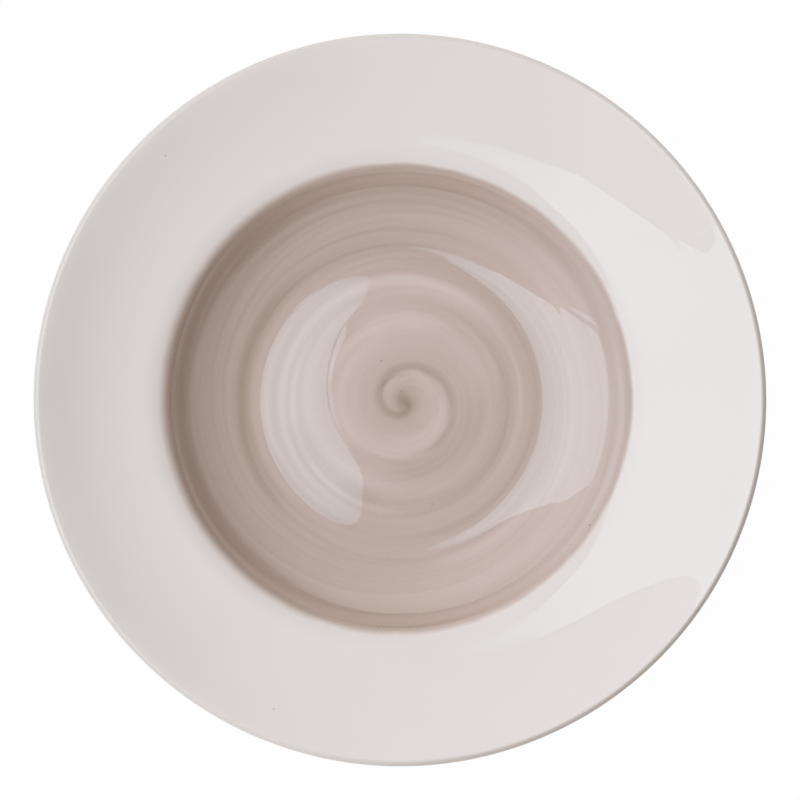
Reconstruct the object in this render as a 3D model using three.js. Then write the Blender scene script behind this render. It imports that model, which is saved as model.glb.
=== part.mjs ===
// Pasta plate: a porcelain body turned about +Z, with its fired glaze coats.
// Millimetres, +Z up, origin at the centre of the plane that the foot ring rests on.
import * as THREE from 'three';

// Upper face of the body, from the axis outwards.
// Each width is radial, and each slope, in degrees, is the one that the arc over that width ends on.
const floorFlatDiameter = 60;
const floorDiameter = 106;
const floorFall = -2.1;
const floorRollWidth = 4.8;
const floorRollSlope = -0.1;
const creaseWidth = 1.8;
const creaseSlope = 2;
const wallFootWidth = 4.4;
const wallFootSlope = 6;
const wallBendWidth = 1.8;
const wallBendSlope = 10;
const wallWidth = 13.2;
const wallSlope = 19.2;
const wallTopWidth = 7.6;
const wallTopSlope = 28.4;
const brinkWidth = 3;
const brinkSlope = 50;
const steepWidth = 4.8;
const steepSlope = 47;
const shoulderWidth = 2.4;
const shoulderSlope = 26;
const rollWidth = 4.5;
const rollSlope = 12;
const runoutWidth = 5.2;
const runoutSlope = 6.6;
const rimWidth = 33;
const rimSlope = 23;
const rimEdgeWidth = 8;
const rimEdgeSlope = 21;

// Wall of the body, measured square to its upper face
const floorThickness = 5;
const lipThickness = 3.2;

// Foot ring, formed in one with the body
const footDiameter = 118;
const footLandWidth = 3;
const footHeight = 3.5;
const footDraft = 12;
const bareBandHeight = 1;
const coveWidth = 4.5;

// Glaze coats: the colour in the well and the white of the rim meet on the shoulder
const glazeThickness = 0.3;
const glazeSeat = 0.02;
const glazeJoint = 0.05;

// Facets: flats round the axis, degrees that one flat of an arc turns, and flats of a round
const turnSegments = 48;
const arcFacetTurn = 10;
const coveFacets = 3;
const lipFacets = 6;

const porcelain = new THREE.MeshStandardMaterial({ color: '#e3dcd3', roughness: 0.75, metalness: 0 });
const whiteGlaze = new THREE.MeshStandardMaterial({ color: '#e2dddb', roughness: 0.12, metalness: 0 });
const taupeGlaze = new THREE.MeshStandardMaterial({ color: '#bdaaa2', roughness: 0.14, metalness: 0 });

const radians = THREE.MathUtils.degToRad;

// A station is a point of the section, radius and height, with the normal that leaves the body there
function station(radius, height, normalAngle) {
  return {
    point: new THREE.Vector2(radius, height),
    normal: new THREE.Vector2(Math.cos(normalAngle), Math.sin(normalAngle)),
  };
}

// The station's place moved out of the body by a distance
function outside(place, distance) {
  return place.point.clone().addScaledVector(place.normal, distance);
}

// Upper face as a chain of arcs, each tangent to the last: along an arc the sine of the slope
// grows evenly with the radius, and a chord has the mean slope of its two ends
function upperFace() {
  const crown = (floorDiameter - floorFlatDiameter) / 2 * Math.tan(radians(-floorFall) / 2);
  const level = footHeight + floorThickness + crown;
  const run = { radius: 0, height: level, slope: 0 };
  const chain = [station(run.radius, run.height, Math.PI / 2)];
  const arc = (width, endDegrees) => {
    const endSlope = radians(endDegrees);
    const startSine = Math.sin(run.slope);
    const endSine = Math.sin(endSlope);
    const turn = Math.abs(endSlope - run.slope);
    const steps = Math.max(1, Math.ceil(turn / radians(arcFacetTurn)));
    for (let i = 1; i <= steps; i += 1) {
      const slope = Math.asin(THREE.MathUtils.lerp(startSine, endSine, i / steps));
      run.radius += width / steps;
      run.height += width / steps * Math.tan((run.slope + slope) / 2);
      run.slope = slope;
      chain.push(station(run.radius, run.height, slope + Math.PI / 2));
    }
  };
  arc(floorFlatDiameter / 2, 0);
  arc((floorDiameter - floorFlatDiameter) / 2, floorFall);
  arc(floorRollWidth, floorRollSlope);
  arc(creaseWidth, creaseSlope);
  arc(wallFootWidth, wallFootSlope);
  arc(wallBendWidth, wallBendSlope);
  arc(wallWidth, wallSlope);
  arc(wallTopWidth, wallTopSlope);
  arc(brinkWidth, brinkSlope);
  arc(steepWidth, steepSlope);
  arc(shoulderWidth, shoulderSlope);
  const colourLine = chain.length;
  arc(glazeJoint, shoulderSlope);
  arc(rollWidth, rollSlope);
  arc(runoutWidth, runoutSlope);
  arc(rimWidth, rimSlope);
  arc(rimEdgeWidth, rimEdgeSlope);
  return { well: chain.slice(0, colourLine), rim: chain.slice(colourLine) };
}

// Under face, the wall's thickness below the upper one; the wall tapers evenly towards the lip
function underFace(upper) {
  const reach = upper.at(-1).point.x;
  return upper.map((place) => {
    const thickness = THREE.MathUtils.lerp(floorThickness, lipThickness, place.point.x / reach);
    return { point: outside(place, -thickness), normal: place.normal.clone().negate() };
  });
}

// The station on a face at a radius, between the two that lie on either side of it
function stationAt(face, radius) {
  const next = face.findIndex((place) => place.point.x > radius);
  const [a, b] = [face[next - 1], face[next]];
  const share = (radius - a.point.x) / (b.point.x - a.point.x);
  return {
    point: a.point.clone().lerp(b.point, share),
    normal: a.normal.clone().lerp(b.normal, share).normalize(),
  };
}

// Hollow curve between two stations, tangent to the section at both
function cove(from, to) {
  const fromWay = from.normal.clone().rotateAround(new THREE.Vector2(), Math.PI / 2);
  const span = to.point.clone().sub(from.point);
  const reach = span.dot(to.normal) / fromWay.dot(to.normal);
  const corner = from.point.clone().addScaledVector(fromWay, reach);
  const curve = new THREE.QuadraticBezierCurve(from.point, corner, to.point);
  const places = [from];
  for (let i = 1; i < coveFacets; i += 1) {
    const point = curve.getPoint(i / coveFacets);
    const way = curve.getTangent(i / coveFacets);
    places.push({ point, normal: new THREE.Vector2(way.y, -way.x) });
  }
  places.push(to);
  return places;
}

// Rounded lip from the end of the under face to the end of the upper one
function lip(upperEnd) {
  const radius = lipThickness / 2;
  const centre = outside(upperEnd, -radius);
  const top = upperEnd.normal.angle();
  const places = [];
  for (let i = 1; i < lipFacets; i += 1) {
    const angle = top - Math.PI + Math.PI * i / lipFacets;
    const place = station(centre.x, centre.y, angle);
    place.point.addScaledVector(place.normal, radius);
    places.push(place);
  }
  return places;
}

// Whole section in the order axis, recess, foot ring, back, lip, rim, well, axis
function plateSection() {
  const upper = upperFace();
  const under = underFace([...upper.well, ...upper.rim.slice(1)]);
  const landInside = (footDiameter - footLandWidth) / 2;
  const landOutside = (footDiameter + footLandWidth) / 2;
  const lean = bareBandHeight * Math.tan(radians(footDraft));
  const bandInside = station(landInside - lean, bareBandHeight, radians(180 + footDraft));
  const bandOutside = station(landOutside + lean, bareBandHeight, radians(-footDraft));
  const recessEnd = stationAt(under, landInside - coveWidth);
  const backStart = stationAt(under, landOutside + coveWidth);
  return {
    recess: [
      ...under.filter((place) => place.point.x < recessEnd.point.x),
      ...cove(recessEnd, bandInside),
    ],
    land: [station(landInside, 0, -Math.PI / 2), station(landOutside, 0, -Math.PI / 2)],
    back: [
      ...cove(bandOutside, backStart),
      ...under.filter((place) => place.point.x > backStart.point.x),
    ],
    lip: lip(upper.rim.at(-1)),
    rim: upper.rim.toReversed(),
    well: upper.well.toReversed(),
  };
}

// Solid of revolution about +Z, from section points in the order that keeps the material on the left
function turned(name, points, material) {
  const geometry = new THREE.LatheGeometry(points, turnSegments).rotateX(Math.PI / 2);
  const mesh = new THREE.Mesh(geometry, material);
  mesh.name = name;
  return mesh;
}

function porcelainBody(section) {
  const outline = [
    ...section.recess,
    ...section.land,
    ...section.back,
    ...section.lip,
    ...section.rim,
    ...section.well,
  ];
  return turned('porcelain_body', outline.map((place) => place.point), porcelain);
}

// Coat over a run of stations, seated on the body: its outer face, then its inner face back again
function glazeCoat(name, places, material) {
  const outer = places.map((place) => outside(place, glazeSeat + glazeThickness));
  const inner = places.map((place) => outside(place, glazeSeat)).reverse();
  return turned(name, [...outer, ...inner, outer[0]], material);
}

const section = plateSection();
const plate = new THREE.Group();
plate.add(
  porcelainBody(section),
  glazeCoat('white_glaze', [...section.back, ...section.lip, ...section.rim], whiteGlaze),
  glazeCoat('well_glaze', section.well, taupeGlaze),
  glazeCoat('recess_glaze', section.recess, whiteGlaze),
);

export default plate;
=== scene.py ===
import math

import bpy
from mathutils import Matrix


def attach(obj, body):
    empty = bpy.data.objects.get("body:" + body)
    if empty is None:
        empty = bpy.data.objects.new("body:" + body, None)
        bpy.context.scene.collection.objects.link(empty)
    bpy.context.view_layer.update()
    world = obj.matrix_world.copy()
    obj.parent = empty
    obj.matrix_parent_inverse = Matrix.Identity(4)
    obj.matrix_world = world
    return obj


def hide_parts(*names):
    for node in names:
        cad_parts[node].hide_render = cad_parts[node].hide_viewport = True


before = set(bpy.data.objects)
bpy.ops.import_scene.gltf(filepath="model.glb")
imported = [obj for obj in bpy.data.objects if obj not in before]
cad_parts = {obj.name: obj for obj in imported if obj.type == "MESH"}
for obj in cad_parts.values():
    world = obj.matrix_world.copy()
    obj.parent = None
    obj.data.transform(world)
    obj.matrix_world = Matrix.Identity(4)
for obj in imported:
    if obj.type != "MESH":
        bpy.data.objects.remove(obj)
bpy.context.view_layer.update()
print("frame loaded:", ", ".join(sorted(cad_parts)))

mm = 0.001
fullTurn = 2 * math.pi
hair = 0.01 * mm                       # keeps a division by a radius away from zero


# Section of the plate: places along it, each with the normal that leaves the body there

plateForm = {
    "floorFlat": 30 * mm,              # radius of the flat middle of the floor
    "floorEdge": (23 * mm, -2.1),      # radial width of an arc, and the slope in degrees that it ends on
    "floorRoll": (4.8 * mm, -0.1),
    "crease": (1.8 * mm, 2),
    "wallFoot": (4.4 * mm, 6),
    "wallBend": (1.8 * mm, 10),
    "wall": (13.2 * mm, 19.2),
    "wallTop": (7.6 * mm, 28.4),
    "brink": (3 * mm, 50),
    "steep": (4.8 * mm, 47),
    "shoulder": (2.4 * mm, 26),        # the colour line is where this arc ends
    "joint": (0.05 * mm, 26),
    "roll": (4.5 * mm, 12),
    "runout": (5.2 * mm, 6.6),
    "rim": (33 * mm, 23),
    "rimEdge": (8 * mm, 21),
    "floorThickness": 5 * mm,
    "lipThickness": 3.2 * mm,
    "footRadius": 59 * mm,             # middle of the land
    "footLand": 3 * mm,
    "footHeight": 3.5 * mm,
    "footDraft": 12,
    "footRound": 0.45 * mm,            # rounding of the land's two edges
    "bareBand": 1 * mm,                # height of the foot ring that the glaze leaves bare
    "cove": 4.5 * mm,
    "placeGap": 2.2 * mm,              # widest step along the section
    "placeTurn": math.radians(1.1),    # largest turn between two places of an arc
    "roundPlaces": 14,                 # steps round the lip and along a cove
    "landPlaces": 5,                   # steps round each edge of the land
    "spinSteps": 240,
}


class Place:                           # a point of the section, radius and height, and its normal
    def __init__(self, radius, height, normalAngle):
        self.radius = radius
        self.height = height
        self.normalAngle = normalAngle

    def outside(self, distance):
        out = self.radius + distance * math.cos(self.normalAngle)
        up = self.height + distance * math.sin(self.normalAngle)
        return (out, up)

    def moved(self, distance, normalAngle):
        return Place(*self.outside(distance), normalAngle)


def lerp(start, end, share):
    return start + (end - start) * share


def upperFace():
    form = plateForm
    fallWidth, fallSlope = form["floorEdge"]
    crown = fallWidth * math.tan(math.radians(-fallSlope) / 2)
    radius = 0
    height = form["footHeight"] + form["floorThickness"] + crown
    slope = 0
    chain = [Place(radius, height, math.pi / 2)]
    marks = {}
    arcs = [("floorFlat", (form["floorFlat"], 0))]
    arcs += [(name, form[name]) for name in (
        "floorEdge", "floorRoll", "crease", "wallFoot", "wallBend", "wall", "wallTop",
        "brink", "steep", "shoulder", "joint", "roll", "runout", "rim", "rimEdge",
    )]
    for name, (width, endDegrees) in arcs:
        endSlope = math.radians(endDegrees)
        startSine = math.sin(slope)
        endSine = math.sin(endSlope)
        turn = abs(endSlope - slope)
        steps = max(math.ceil(width / form["placeGap"]), math.ceil(turn / form["placeTurn"]))
        for step in range(1, steps + 1):
            nextSlope = math.asin(lerp(startSine, endSine, step / steps))
            radius += width / steps
            height += width / steps * math.tan((slope + nextSlope) / 2)
            slope = nextSlope
            chain.append(Place(radius, height, slope + math.pi / 2))
        marks[name] = len(chain) - 1   # the place that this arc ends on
    return chain, marks


def underFace(upper):
    reach = upper[-1].radius
    under = []
    for place in upper:
        thickness = lerp(plateForm["floorThickness"], plateForm["lipThickness"], place.radius / reach)
        under.append(place.moved(-thickness, place.normalAngle - math.pi))
    return under


def placeAt(face, radius):
    later = next(i for i, place in enumerate(face) if place.radius > radius)
    a = face[later - 1]
    b = face[later]
    share = (radius - a.radius) / (b.radius - a.radius)
    return Place(radius, lerp(a.height, b.height, share), lerp(a.normalAngle, b.normalAngle, share))


def cove(start, end):                  # hollow curve, tangent to the section at both ends
    wayX = -math.sin(start.normalAngle)
    wayZ = math.cos(start.normalAngle)
    normalX = math.cos(end.normalAngle)
    normalZ = math.sin(end.normalAngle)
    gap = (end.radius - start.radius) * normalX + (end.height - start.height) * normalZ
    reach = gap / (wayX * normalX + wayZ * normalZ)
    cornerX = start.radius + wayX * reach
    cornerZ = start.height + wayZ * reach
    places = [start]
    steps = plateForm["roundPlaces"]
    for step in range(1, steps):
        share = step / steps
        legX = lerp(cornerX - start.radius, end.radius - cornerX, share)
        legZ = lerp(cornerZ - start.height, end.height - cornerZ, share)
        x = start.radius + 2 * share * (cornerX - start.radius)
        x += share * share * (start.radius - 2 * cornerX + end.radius)
        z = start.height + 2 * share * (cornerZ - start.height)
        z += share * share * (start.height - 2 * cornerZ + end.height)
        places.append(Place(x, z, math.atan2(-legX, legZ)))
    return places + [end]


def roundedOver(centre, radius, startAngle, endAngle, steps):
    places = []
    for step in range(steps + 1):
        angle = lerp(startAngle, endAngle, step / steps)
        places.append(Place(*Place(*centre, angle).outside(radius), angle))
    return places


def plateSection():
    form = plateForm
    upper, marks = upperFace()
    under = underFace(upper)
    draft = math.radians(form["footDraft"])
    landInside = form["footRadius"] - form["footLand"] / 2
    landOutside = form["footRadius"] + form["footLand"] / 2
    lean = form["bareBand"] * math.tan(draft)
    bandInside = Place(landInside - lean, form["bareBand"], math.pi + draft)
    bandOutside = Place(landOutside + lean, form["bareBand"], -draft)
    recessEnd = placeAt(under, landInside - form["cove"])
    backStart = placeAt(under, landOutside + form["cove"])

    # each land edge is a small round, tangent to the land and to the flank beside it
    roundness = form["footRound"]
    steps = form["landPlaces"]
    inset = roundness * math.tan((math.pi / 2 - draft) / 2)
    land = roundedOver((landInside + inset, roundness), roundness, -math.pi + draft, -math.pi / 2, steps)
    land += roundedOver((landOutside - inset, roundness), roundness, -math.pi / 2, -draft, steps)

    lipRound = form["lipThickness"] / 2
    lipTop = upper[-1].normalAngle
    lip = roundedOver(upper[-1].outside(-lipRound), lipRound, lipTop - math.pi, lipTop, form["roundPlaces"])
    colourLine = marks["shoulder"]
    return {
        "recess": [p for p in under if p.radius < recessEnd.radius] + cove(recessEnd, bandInside),
        "land": land,
        "back": cove(bandOutside, backStart) + [p for p in under if p.radius > backStart.radius],
        "lip": lip[1:-1],
        "rim": upper[:colourLine - 1:-1],
        "well": upper[colourLine::-1],
    }


section = plateSection()
print("section drawn:", sum(len(run) for run in section.values()), "places")


# Pieces: a section drawn vertex by vertex and spun about the plate's axis

glazeForm = {
    "seat": 0.02 * mm,
    "thickness": 0.3 * mm,
    "beadPlaces": 6,                   # steps round the glaze's edge beside the bare foot
    "smoothAngle": math.radians(38),
    "weld": 0.002 * mm,                # points closer than this become one
}


def drawnLine(name, points):           # a chain of edges through the points, left open in edit mode
    bpy.ops.object.select_all(action="DESELECT")
    bpy.ops.mesh.primitive_plane_add(size=1 * mm)
    piece = bpy.context.object
    piece.name = name
    piece.data.name = name
    bpy.ops.object.mode_set(mode="EDIT")
    bpy.ops.mesh.select_all(action="SELECT")
    bpy.ops.mesh.merge(type="CENTER")
    bpy.ops.transform.translate(value=points[0])
    for start, end in zip(points, points[1:]):
        step = tuple(b - a for a, b in zip(start, end))
        bpy.ops.mesh.extrude_region_move(TRANSFORM_OT_translate={"value": step})
    bpy.ops.mesh.select_all(action="SELECT")
    return piece


def turned(name, points):
    piece = drawnLine(name, [(radius, 0, height) for radius, height in points])
    bpy.ops.mesh.spin(steps=plateForm["spinSteps"], angle=fullTurn, center=(0, 0, 0), axis=(0, 0, 1))
    bpy.ops.mesh.select_all(action="SELECT")
    bpy.ops.mesh.remove_doubles(threshold=glazeForm["weld"])
    bpy.ops.mesh.normals_make_consistent(inside=False)
    bpy.ops.object.mode_set(mode="OBJECT")
    bpy.ops.object.shade_smooth_by_angle(angle=glazeForm["smoothAngle"])
    print("turned", name, "with", len(piece.data.polygons), "faces")
    return piece


def bead(place, outwards):             # rounded edge of a coat, from its outer face to its inner one
    half = glazeForm["thickness"] / 2
    middle = place.outside(glazeForm["seat"] + half)
    sweep = math.pi if outwards else -math.pi
    steps = glazeForm["beadPlaces"]
    edge = roundedOver(middle, half, place.normalAngle, place.normalAngle + sweep, steps)
    return [(p.radius, p.height) for p in edge]


def glazeCoat(name, places, beadStart=False, beadEnd=False):
    seat = glazeForm["seat"]
    full = seat + glazeForm["thickness"]
    outer = [place.outside(full) for place in places]
    inner = [place.outside(seat) for place in reversed(places)]
    if beadEnd:
        outer += bead(places[-1], True)[1:-1]
    if beadStart:
        inner += bead(places[0], False)[-2:0:-1]
    return turned(name, outer + inner + outer[:1])


def porcelainBody():
    runs = [section[name] for name in ("recess", "land", "back", "lip", "rim", "well")]
    return turned("porcelainBody", [(p.radius, p.height) for run in runs for p in run])


body = porcelainBody()
whiteCoat = glazeCoat("whiteGlaze", section["back"] + section["lip"] + section["rim"], beadStart=True)
wellCoat = glazeCoat("wellGlaze", section["well"])
recessCoat = glazeCoat("recessGlaze", section["recess"], beadEnd=True)


# Shader maths: a wired socket with operators, and a material that makes nodes

class Wire:
    def __init__(self, finish, socket):
        self.finish = finish
        self.socket = socket

    def maths(self, operation, *values):
        return self.finish.node("ShaderNodeMath", {"operation": operation}, dict(enumerate(values)))

    def __add__(self, other):
        return self.maths("ADD", self, other)

    def __radd__(self, other):
        return self.maths("ADD", other, self)

    def __sub__(self, other):
        return self.maths("SUBTRACT", self, other)

    def __rsub__(self, other):
        return self.maths("SUBTRACT", other, self)

    def __mul__(self, other):
        return self.maths("MULTIPLY", self, other)

    def __rmul__(self, other):
        return self.maths("MULTIPLY", other, self)

    def __truediv__(self, other):
        return self.maths("DIVIDE", self, other)

    def __rtruediv__(self, other):
        return self.maths("DIVIDE", other, self)

    def __pow__(self, other):
        return self.maths("POWER", self, other)

    def __abs__(self):
        return self.maths("ABSOLUTE", self)


class Finish:
    def __init__(self, name, world=None):
        self.material = world or bpy.data.materials.new(name)
        self.material.use_nodes = True
        self.tree = self.material.node_tree
        self.tree.nodes.clear()

    def node(self, kind, settings=None, sockets=None, out=0):
        made = self.tree.nodes.new(kind)
        for name, value in (settings or {}).items():
            if name == "stops":
                self.setStops(made.color_ramp.elements, value)
            elif name == "interpolation":
                made.color_ramp.interpolation = value
            else:
                setattr(made, name, value)
        for name, value in (sockets or {}).items():
            if isinstance(value, Wire):
                self.tree.links.new(value.socket, made.inputs[name])
            else:
                made.inputs[name].default_value = value
        if isinstance(out, tuple):
            return [Wire(self, made.outputs[name]) for name in out]
        return Wire(self, made.outputs[out])

    def setStops(self, elements, stops):
        while len(elements) < len(stops):
            elements.new(1)
        for element, (position, value) in zip(elements, stops):
            element.position = position
            element.color = value if isinstance(value, tuple) else (value, value, value, 1)

    def ramp(self, value, stops, interpolation="LINEAR"):
        return self.node("ShaderNodeValToRGB", {"stops": stops, "interpolation": interpolation}, {0: value})

    def fade(self, value, start, end, low=0, high=1):
        return self.node("ShaderNodeMapRange", {"interpolation_type": "SMOOTHSTEP"},
                         {0: value, 1: start, 2: end, 3: low, 4: high})

    def mix(self, share, first, second):
        return self.node("ShaderNodeMix", {"data_type": "RGBA"}, {0: share, 6: first, 7: second}, 2)

    def noise(self, vector, scale, detail=2, roughness=0.5):
        sockets = {"Vector": vector, "Scale": scale, "Detail": detail, "Roughness": roughness}
        return self.node("ShaderNodeTexNoise", None, sockets)

    def vector(self, x, y, z):
        return self.node("ShaderNodeCombineXYZ", None, {0: x, 1: y, 2: z})

    def objectPoint(self):
        return self.node("ShaderNodeTexCoord", None, None, "Object")

    def axes(self, point):
        return self.node("ShaderNodeSeparateXYZ", None, {0: point}, (0, 1, 2))

    def length(self, x, y):
        return (x * x + y * y) ** 0.5

    def output(self, shader, kind="ShaderNodeOutputMaterial"):
        made = self.tree.nodes.new(kind)
        self.tree.links.new(shader.socket, made.inputs["Surface"])
        return self.material


def screen(red, green, blue):          # a screen's colour, 0 to 255, in the linear values of a socket
    def channel(value):
        share = value / 255
        return share / 12.92 if share <= 0.04045 else ((share + 0.055) / 1.055) ** 2.4
    return (channel(red), channel(green), channel(blue), 1)


# Brushed colour of the well: one spiral stroke, drawn out from the eye on a turning wheel

brushForm = {
    "pitch": 20.2 * mm,                # from one turn of the stroke to the next
    "lead": 0.05,                      # share of a turn that the stroke is ahead of an even start
    "eye": (1.83 * mm, -0.96 * mm),    # where the stroke starts, off the plate's axis
    "eyeFade": (28 * mm, 62 * mm),     # the stroke comes back to the axis over these radii
    "lineCentre": (-1.1 * mm, 0.5 * mm),
    "lineRadius": 97 * mm,
    "lineFeather": 1.2 * mm,
    "lineRagged": 0.6 * mm,
    "lineScale": 70,
    "shadedLeftSide": (20 * mm, -80 * mm),   # x over which the line grows softer towards the left, the side away from the lamp: partly the brush's soft edge, partly painted shade
    "shadedLeftFeather": 0.8,                # and by how much
    "washWidth": 9 * mm,               # a faint wash outside the line
    "washShare": (0.05, 0.1),          # its strength, and the painted shade that the left side adds
    "wander": 1.6 * mm,                # how far the hand strays from an even stroke
    "wanderScale": 22,
    "profileReach": 100 * mm,          # the radius at which the profiles below end
    "darkNone": 0.12,                  # the value in darkAlong that shows nothing
    "bristleClimb": 30 * mm,           # radius over which the bristle lines change
    "broadLines": (0.7, 1, 1, 2, 0.5),     # ring, climb, and the noise's scale, detail and roughness
    "fineLines": (2.6, 1.7, 1.4, 3, 0.6),
    "broadStrength": 0.3,
    "fineStrength": (48 * mm, 68 * mm, 0.09, 0.17),   # between two radii, from one strength to another
    "markFull": 0.35,                  # share of a mark's sweep where it shows in full
    "grainScale": 900,
    "grainStrength": 0.08,
}

strokeDark = [                         # over one turn, from its inner edge outwards
    (0.0, 1.0), (0.1, 0.55), (0.2, 0.28), (0.4, 0.12), (0.65, 0.0), (0.9, 0.0), (0.95, 0.5), (1.0, 1.0),
]
strokeLight = [
    (0.0, 0.0), (0.2, 0.25), (0.4, 0.7), (0.6, 0.95), (0.8, 1.0), (0.88, 0.85), (0.95, 0.35), (1.0, 0.0),
]
darkAlong = [                          # how strongly each shows, over radius
    (0.0, 0.17), (0.03, 0.24), (0.05, 0.38), (0.1, 0.34), (0.15, 0.3), (0.19, 0.27), (0.22, 0.22),
    (0.25, 0.1), (0.28, 0.0), (0.36, 0.0), (0.42, 0.12),
]
lightAlong = [
    (0.0, 0.0), (0.05, 0.0), (0.1, 0.08), (0.15, 0.18), (0.2, 0.23), (0.25, 0.23), (0.3, 0.25),
    (0.36, 0.25), (0.42, 0.13), (0.5, 0.03),
]
coatAlong = [                          # tone of the colour from the axis to its edge
    (0.0, 0.55), (0.84, 0.55), (0.88, 0.47), (0.94, 0.47), (0.97, 0.55),
]
brushAndShadeMarks = [                         # radius and half width in mm, middle and half sweep in degrees, tone; some rows are painted light and painted shade, as marked
    (50.0, 2.4, 20, 100, 0.13),
    (50.0, 2.6, 180, 90, 0.15),
    (48.5, 6.0, 80, 50, 0.14),
    (57.0, 2.6, 340, 100, -0.1),
    (56.5, 2.6, 225, 35, -0.14),
    (44.8, 2.2, 337, 60, -0.06),
    (66.5, 5.5, 180, 60, -0.2),
    (64.8, 1.4, 110, 50, -0.12),
    (71.4, 1.3, 110, 50, -0.1),
    (77.0, 3.0, 110, 60, 0.07),
    (66.5, 1.5, 255, 30, -0.08),
    (91.8, 1.5, 340, 40, 0.1),
    (93.4, 1.6, 225, 45, 0.08),
    # painted shade: darkens the steep wall on its -X side, which leans away from the lamp
    (91.5, 5.0, 170, 85, -0.18),
    (91.5, 3.5, 85, 50, 0.1),
    (91.5, 3.5, 270, 50, 0.1),
    # painted light: these five lighten the wall on its +X side, which leans towards the lamp
    (90.5, 6.0, 350, 80, 0.14),
    (93.5, 3.5, 0, 80, 0.2),
    (82.0, 20.0, 350, 100, 0.18),
    (87.5, 10.0, 358, 60, 0.14),
    (73.5, 9.0, 0, 50, 0.11),
    (61.0, 3.0, 0, 70, -0.08),
    (44.0, 12.0, 225, 40, -0.1),
    (36.0, 24.0, 5, 85, -0.06),
    (79.0, 17.0, 110, 70, -0.05),
    (33.0, 3.5, 135, 40, 0.07),
    (33.5, 4.0, 115, 55, 0.12),
    (27.5, 4.0, 175, 60, 0.07),
    (50.0, 4.0, 90, 40, 0.1),
    (50.0, 3.0, 270, 35, 0.07),
    (65.5, 4.5, 150, 100, -0.12),
    (62.5, 3.0, 150, 110, -0.08),
    # painted shade: these two darken the steep upper-left wall, which faces away from the lamp
    (86.5, 3.0, 110, 70, -0.14),
    (95.5, 2.6, 160, 110, -0.14),
    (41.5, 3.5, 270, 40, -0.08),
    (31.0, 11.0, 315, 75, -0.2),
    (38.0, 7.0, 90, 45, 0.1),
    (36.6, 2.6, 88, 40, 0.1),
    (40.2, 2.8, 35, 35, 0.14),
    (52.0, 2.6, 75, 50, 0.13),
    (45.8, 2.0, 200, 60, 0.12),
    (46.0, 2.2, 238, 30, 0.12),
    (46.5, 2.5, 258, 16, 0.08),
    (57.0, 2.2, 115, 35, 0.08),
    (55.6, 2.0, 175, 40, 0.09),
    (64.8, 1.8, 212, 25, 0.08),
    (86.0, 3.0, 160, 22, 0.09),
    (23.6, 2.0, 270, 45, 0.13),
    (15.5, 4.5, 290, 65, 0.07),
    (9.5, 4.5, 0, 75, 0.08),
    (11.3, 1.6, 115, 40, -0.14),
    (14.8, 2.2, 35, 35, -0.1),
    (20.0, 1.6, 335, 25, 0.08),
    (25.5, 3.0, 215, 35, 0.08),
    (28.0, 7.0, 60, 60, -0.06),
    (69.8, 4.0, 304, 28, 0.15),
    (82.8, 2.2, 100, 60, -0.1),
    (88.5, 4.0, 32, 25, -0.1),
    (94.6, 1.6, 260, 30, -0.12),
]
brushSpots = [                         # where the brush was set down: x, y and radius in mm, tone
    (2.5, -1.6, 5.4, -0.27),
    (0.8, -0.6, 9.0, -0.18),
    (0.0, -5.4, 3.6, -0.06),
    (0.9, 1.5, 3.6, -0.1),
]
brushTones = [                         # colour of the coat from a loaded stroke to a thin one
    (0.0, screen(134, 114, 100)),
    (0.3, screen(166, 147, 135)),
    (0.65, screen(191, 174, 166)),
    (1.0, screen(210, 198, 192)),
]


def bristleLines(finish, ringX, ringY, climb, lines):
    ring, rise, scale, detail, roughness = lines
    return finish.noise(finish.vector(ringX * ring, ringY * ring, climb * rise), scale, detail, roughness)


def brushedColour(finish, point, x, y):
    form = brushForm
    eyeX, eyeY = form["eye"]
    reach = finish.length(x, y)
    offAxis = finish.fade(reach, *form["eyeFade"], 1, 0)
    wander = finish.noise(point, form["wanderScale"], 1)
    strokeX = x - offAxis * eyeX
    strokeY = y - offAxis * eyeY
    radius = finish.length(strokeX, strokeY) + (wander - 0.5) * form["wander"]
    angle = strokeY.maths("ARCTAN2", strokeY, strokeX)
    turns = radius / form["pitch"] + angle / fullTurn + form["lead"]
    across = turns.maths("FRACT", turns)
    outwards = radius / form["profileReach"]
    light = finish.ramp(across, strokeLight) * finish.ramp(outwards, lightAlong)
    dark = finish.ramp(across, strokeDark) * (finish.ramp(outwards, darkAlong) - form["darkNone"])
    tone = light - dark + finish.ramp(outwards, coatAlong)

    # bristle lines run along the stroke: noise on a ring that closes once a turn
    phase = turns * fullTurn
    ringX = phase.maths("COSINE", phase)
    ringY = phase.maths("SINE", phase)
    climb = radius / form["bristleClimb"]
    broad = bristleLines(finish, ringX, ringY, climb, form["broadLines"])
    fine = bristleLines(finish, ringX, ringY, climb, form["fineLines"])
    fineStrength = finish.fade(reach, *form["fineStrength"])
    tone = tone + (broad - 0.5) * form["broadStrength"] + (fine - 0.5) * fineStrength

    for middle, halfWidth, direction, halfSweep, strength in brushAndShadeMarks:
        facing = math.radians(direction)
        turnOff = (strokeX * math.cos(facing) + strokeY * math.sin(facing)) / (radius + hair)
        window = finish.fade(turnOff, math.cos(math.radians(halfSweep)),
                             math.cos(math.radians(halfSweep * form["markFull"])))
        ridge = finish.fade(abs(radius - middle * mm), 0, halfWidth * mm, 1, 0)
        tone = tone + window * ridge * strength
    for spotX, spotY, size, strength in brushSpots:
        away = finish.length(x - spotX * mm, y - spotY * mm)
        tone = tone + finish.fade(away, 0, size * mm, strength, 0)
    grain = finish.noise(point, form["grainScale"], 2)
    tone = tone + (grain - 0.5) * form["grainStrength"]
    return finish.ramp(tone, brushTones), fine


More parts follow.
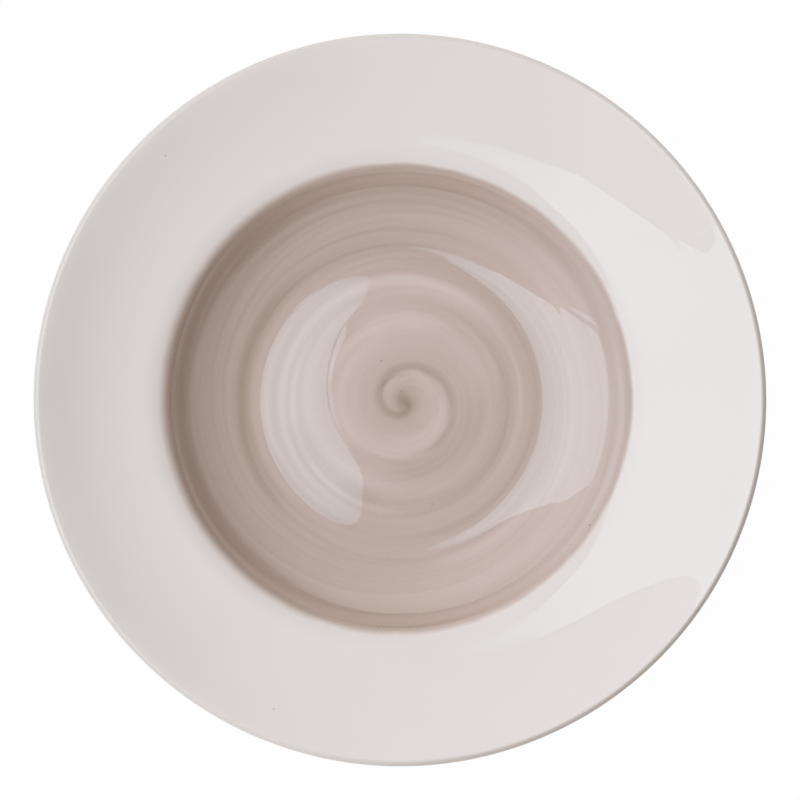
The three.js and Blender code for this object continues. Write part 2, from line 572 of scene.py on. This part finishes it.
def paintedShare(finish, point, x, y):
    form = brushForm
    lineX, lineY = form["lineCentre"]
    line = form["lineRadius"]
    reach = finish.length(x - lineX, y - lineY)
    ragged = (finish.noise(point, form["lineScale"], 3) - 0.5) * (2 * form["lineRagged"])
    # the left side, away from the lamp, gets a softer line and more wash: painted shade, added to the
    # brush's own soft edge
    shadedLeft = finish.fade(x, *form["shadedLeftSide"])
    feather = (shadedLeft * form["shadedLeftFeather"] + 1) * form["lineFeather"]
    stroke = finish.fade(reach + ragged, line - feather, line + feather, 1, 0)
    washShare, washShadeLeft = form["washShare"]
    wash = finish.fade(reach, line, line + form["washWidth"], 1, 0) * (shadedLeft * washShadeLeft + washShare)
    return 1 - (1 - stroke) * (1 - wash)


# Glazes

glazeLook = {
    "white": screen(230, 227, 226),
    "whiteThin": screen(225, 221, 219),
    "cloudScale": 18,
    "roughness": 0.013,
    "peelScale": 260,                  # fine pits, in the gloss and in the relief
    "peelRoughness": 0.008,
    "peelRelief": 0.025,               # reliefs are shares of the wave's height
    "waveHeight": 0.045 * mm,
    "waveScale": 24,
    "rippleScale": 120,
    "rippleRelief": (0.06, 0.22),      # on the white, and what the colour adds
    "bristleRelief": 0.05,
    "stillFloor": (50 * mm, 68 * mm, 0.12, 1),   # the glaze settles flatter on the floor than on the wall
    "hazeRoughness": 0.5,
    "lip": screen(186, 178, 170),      # the glaze runs thin over the lip, and painted shade darkens it on the side away from the lamp
    "lipRadii": (147.2 * mm, 149 * mm),
    "lipShadeFacing": (0.82, -0.57),        # the side that faces away from the lamp, where the painted shade is darkest
    "lipShare": (0.2, 1, 0.2, 0.95),   # from the rest of the lip, thin glaze only, to that side, where painted shade is added
    "paintRise": 1 * mm,
    "speck": screen(120, 104, 92),
    "speckShare": 0.7,
    "speckCore": 0.4,                  # share of a speck's radius that is solid
    "speckRise": (5 * mm, 8 * mm),     # none is under these heights
    "specks": [                        # x and y of iron specks, and their radius, in mm
        (78.5, -51.6, 0.45), (-7.8, 16.5, 0.4), (0.6, 3.6, 0.4), (13.5, -43.4, 0.4), (-8.9, -94.2, 0.4),
        (-96.1, 100.2, 0.4), (-51.8, -126.7, 0.4), (80.4, -46.3, 0.25), (70.5, -59.8, 0.25),
    ],
}


def specked(finish, colour, x, y, z):
    look = glazeLook
    share = None
    for speckX, speckY, size in look["specks"]:
        away = finish.length(x - speckX * mm, y - speckY * mm)
        spot = finish.fade(away, size * look["speckCore"] * mm, size * mm, look["speckShare"], 0)
        share = spot if share is None else share + spot
    above = finish.fade(z, *look["speckRise"])
    return finish.mix(share * above, colour, look["speck"])


# thin glaze all round the lip, plus painted shade on its lower right side, which faces away from the lamp
def thinAndShadedLip(finish, colour, x, y):
    look = glazeLook
    facingX, facingY = look["lipShadeFacing"]
    reach = finish.length(x, y)
    facing = (x * facingX + y * facingY) / (reach + hair)
    share = finish.fade(reach, *look["lipRadii"]) * finish.fade(facing, *look["lipShare"])
    return finish.mix(share, colour, look["lip"])


def glazeFinish(name, refraction, paintFrom, haze=0):
    finish = Finish(name)
    look = glazeLook
    point = finish.objectPoint()
    x, y, z = finish.axes(point)
    cloud = finish.noise(point, look["cloudScale"], 2)
    white = thinAndShadedLip(finish, finish.mix(cloud, look["white"], look["whiteThin"]), x, y)
    taupe, bristle = brushedColour(finish, point, x, y)
    above = finish.fade(z, paintFrom, paintFrom + look["paintRise"])
    painted = paintedShare(finish, point, x, y) * above
    colour = specked(finish, finish.mix(painted, white, taupe), x, y, z)

    peel = finish.noise(point, look["peelScale"], 2)
    wave = finish.noise(point, look["waveScale"], 1)
    ripple = finish.noise(point, look["rippleScale"], 3)
    rippleWhite, ripplePainted = look["rippleRelief"]
    still = finish.fade(finish.length(x, y), *look["stillFloor"])
    waves = wave + ripple * (painted * ripplePainted + rippleWhite)
    waves = waves + bristle * painted * look["bristleRelief"]
    height = waves * still + peel * look["peelRelief"]
    bump = finish.node("ShaderNodeBump", None, {"Distance": look["waveHeight"], "Height": height})
    roughness = look["roughness"] + (peel - 0.5) * look["peelRoughness"]
    sockets = {"Base Color": colour, "Roughness": roughness, "Normal": bump, "IOR": refraction}
    if haze:
        sockets.update({"Coat Weight": haze, "Coat Roughness": look["hazeRoughness"]})
    return finish.output(finish.node("ShaderNodeBsdfPrincipled", None, sockets))


bareLook = {
    "dark": screen(214, 205, 194),
    "light": screen(232, 226, 218),
    "cloudScale": 60,
    "grainScale": 1500,
    "grainShare": 0.4,                 # of the colour; the rest follows the clouds
    "grainHeight": 0.05 * mm,
    "roughness": (0.7, 0.2),           # least, and what the grain adds
}


def bareFinish():
    finish = Finish("barePorcelain")
    look = bareLook
    point = finish.objectPoint()
    grain = finish.noise(point, look["grainScale"], 4, 0.7)
    cloud = finish.noise(point, look["cloudScale"], 3)
    share = cloud * (1 - look["grainShare"]) + grain * look["grainShare"]
    colour = finish.mix(share, look["dark"], look["light"])
    bump = finish.node("ShaderNodeBump", None, {"Distance": look["grainHeight"], "Height": grain})
    smoothest, rougher = look["roughness"]
    sockets = {"Base Color": colour, "Roughness": smoothest + grain * rougher, "Normal": bump}
    return finish.output(finish.node("ShaderNodeBsdfPrincipled", None, sockets))


# the colour is only on upper faces, which lie above these heights; the back stays white
whiteFinish = glazeFinish("whiteGlaze", 1.5, 24 * mm)
taupeFinish = glazeFinish("taupeGlaze", 1.7, 6 * mm, haze=0.7)
recessFinish = glazeFinish("recessGlaze", 1.5, 6 * mm)
print("finishes mixed")

for piece, node, slot, material in (
    (body, "porcelain_body", "bare_porcelain", bareFinish()),
    (whiteCoat, "white_glaze", "white_glaze", whiteFinish),
    (wellCoat, "well_glaze", "taupe_glaze", taupeFinish),
    (recessCoat, "recess_glaze", "white_glaze", recessFinish),
):
    piece.data.materials.clear()
    piece.data.materials.append(material)
    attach(piece, "root")
    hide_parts(node)


# Stage

stage = {
    "floorSize": 14,
    "floorColour": (0.8, 0.8, 0.8, 1),
    "floorGlow": 0.975,                # share of white in what the camera and the gloss see of the floor
    "cameraHeight": 1.6,
    "sensor": 36,
    "lens": 171.6,
    "softboxTop": (-0.17, 7.0),        # x and z of its upper edge
    "softboxBottom": (-3.1, 2.2),
    "softboxCorners": [                # share of the way down, and y: its cloth hangs unevenly
        (-0.025, -1.36), (-0.028, -1.13), (0, -0.95), (0.026, -0.74), (-0.008, -0.32), (-0.016, -0.2),
        (-0.016, -0.11), (-0.0075, -0.073), (0.011, 0.053), (0.022, 0.13), (0.03, 0.24), (0.026, 0.33),
        (0.009, 0.49), (0.004, 0.67), (0.007, 0.77), (0, 1.2), (0.067, 1.275), (0.134, 1.32),
        (0.227, 1.335), (0.315, 1.34), (0.4, 1.31), (0.55, 1.355), (0.65, 1.37), (0.75, 1.42), (0.81, 1.4),
        (1, 1.25), (1, -1.0), (0.77, -1.14), (0.648, -1.21), (0.637, -1.06), (0.62, -1.15), (0.6, -1.215),
        (0.56, -1.23), (0.5, -1.285), (0.41, -1.36), (0.34, -1.45), (0.3, -1.455), (0.232, -1.385),
        (0.126, -1.4), (0.065, -1.345),
    ],
    "softboxStrip": [                  # a thin line of light beside its upper edge
        (-0.0165, -0.09), (-0.0085, -0.046), (-0.005, 0.012), (0.005, 0.123), (0.006, 0.2), (0.012, 0.27),
        (0.022, 0.33), (0.024, 0.24), (0.016, 0.123), (0.001, 0.012), (-0.006, -0.046), (-0.0155, -0.09),
    ],
    "softboxFlap": [                   # and a narrow one beside its side edge
        (0.74, -1.3), (0.805, -1.315), (0.94, -1.27), (1.2, -1.36), (1.18, -1.26), (0.963, -1.16),
        (0.875, -1.195), (0.79, -1.24),
    ],
    "weld": 1 * mm,
    "softboxRadiance": 3.4,
    "softboxFall": [                   # how the light fades from the upper edge to the lower one
        (0.0, 0.7), (0.09, 0.82), (0.2, 0.84), (0.35, 0.79), (0.5, 0.74), (0.65, 0.67), (0.8, 0.58),
        (1.0, 0.5),
    ],
    "softboxCornerFall": [(0.6, 1.3, 0.5), (-0.65, -1.35, 0.35)],   # from one y to another, by this share
    "softboxCornerDepth": (0.1, 0.32),     # and only above these shares of the way down
    "softboxEdgeFall": [(0.25, 0.0), (0.6, 0.3), (0.75, 0.3), (0.95, 0.0)],   # loss over y, on both sides
    "softboxEdgeDepth": (0, 0.06),     # near its upper edge
    "softboxColour": (0.917, 1.0, 1.08, 1),
    "ambient": 0.834,
    "ambientColour": (1.072, 0.995, 0.95, 1),
    "ambientSlant": (-0.05, 0.15),     # how much brighter the room is towards +X and +Y
    "ambientSides": 0.6,               # and towards both ends of Y
    "darkRight": (0.15, 0.8, 0.1),     # the room darkens between these x of a direction, down to this share
    "darkLeft": (-0.2, -0.9, 0.55),
}


def paleFloor():
    bpy.ops.object.select_all(action="DESELECT")
    bpy.ops.mesh.primitive_plane_add(size=stage["floorSize"])
    floor = bpy.context.object
    floor.name = "floor"
    finish = Finish("paleFloor")
    direct, glossy, through = finish.node("ShaderNodeLightPath", None, None,
                                          ("Is Camera Ray", "Is Glossy Ray", "Is Transmission Ray"))
    seen = direct.maths("MINIMUM", direct + glossy + through, 1)
    matt = finish.node("ShaderNodeBsdfDiffuse", None, {"Color": stage["floorColour"]})
    glow = finish.node("ShaderNodeEmission", None, {"Color": (1, 1, 1, 1), "Strength": 1})
    backdrop = finish.node("ShaderNodeMixShader", None, {0: stage["floorGlow"], 1: matt, 2: glow})
    shader = finish.node("ShaderNodeMixShader", None, {0: seen, 1: matt, 2: backdrop})
    floor.data.materials.append(finish.output(shader))


def lightPanel(name, corners, material):
    topX, topZ = stage["softboxTop"]
    bottomX, bottomZ = stage["softboxBottom"]
    outline = [(lerp(topX, bottomX, down), y, lerp(topZ, bottomZ, down)) for down, y in corners]
    panel = drawnLine(name, outline + outline[:1])
    bpy.ops.mesh.remove_doubles(threshold=stage["weld"])
    bpy.ops.mesh.edge_face_add()
    bpy.ops.object.mode_set(mode="OBJECT")
    panel.data.materials.append(material)
    panel.visible_camera = False


def softbox():
    finish = Finish("softbox")
    x, y, z = finish.axes(finish.objectPoint())
    topX = stage["softboxTop"][0]
    down = (x - topX) / (stage["softboxBottom"][0] - topX)
    share = finish.ramp(down, stage["softboxFall"])
    corners = finish.fade(down, *stage["softboxCornerDepth"], 1, 0)
    for start, end, loss in stage["softboxCornerFall"]:
        share = share * (1 - finish.fade(y, start, end, 0, loss) * corners)
    edge = finish.fade(down, *stage["softboxEdgeDepth"], 1, 0)
    share = share * (1 - finish.ramp(abs(y), stage["softboxEdgeFall"]) * edge)
    colour = finish.mix(share, (0, 0, 0, 1), stage["softboxColour"])
    sockets = {"Color": colour, "Strength": stage["softboxRadiance"]}
    glow = finish.output(finish.node("ShaderNodeEmission", None, sockets))
    lightPanel("softbox", stage["softboxCorners"], glow)
    lightPanel("softboxStrip", stage["softboxStrip"], glow)
    lightPanel("softboxFlap", stage["softboxFlap"], glow)


def studio():
    world = bpy.data.worlds.new("studio")
    bpy.context.scene.world = world
    room = Finish("room", world)
    slantX, slantY = stage["ambientSlant"]
    way = room.node("ShaderNodeTexCoord", None, None, "Generated")
    x, y, z = room.node("ShaderNodeSeparateXYZ", None, {0: way}, (0, 1, 2))
    strength = (x * slantX + y * slantY + y * y * stage["ambientSides"] + 1) * stage["ambient"]
    for start, end, share in (stage["darkRight"], stage["darkLeft"]):
        strength = strength * room.fade(x, start, end, 1, share)
    glow = room.node("ShaderNodeBackground", None, {"Color": stage["ambientColour"], "Strength": strength})
    room.output(glow, "ShaderNodeOutputWorld")


def camera():
    bpy.ops.object.camera_add(location=(0, 0, stage["cameraHeight"]), rotation=(0, 0, 0))
    eye = bpy.context.object
    eye.name = "camera"
    eye.data.sensor_width = stage["sensor"]
    eye.data.lens = stage["lens"]
    bpy.context.scene.camera = eye


paleFloor()
softbox()
studio()
camera()
bpy.context.scene.view_settings.view_transform = "Standard"
print("stage set")
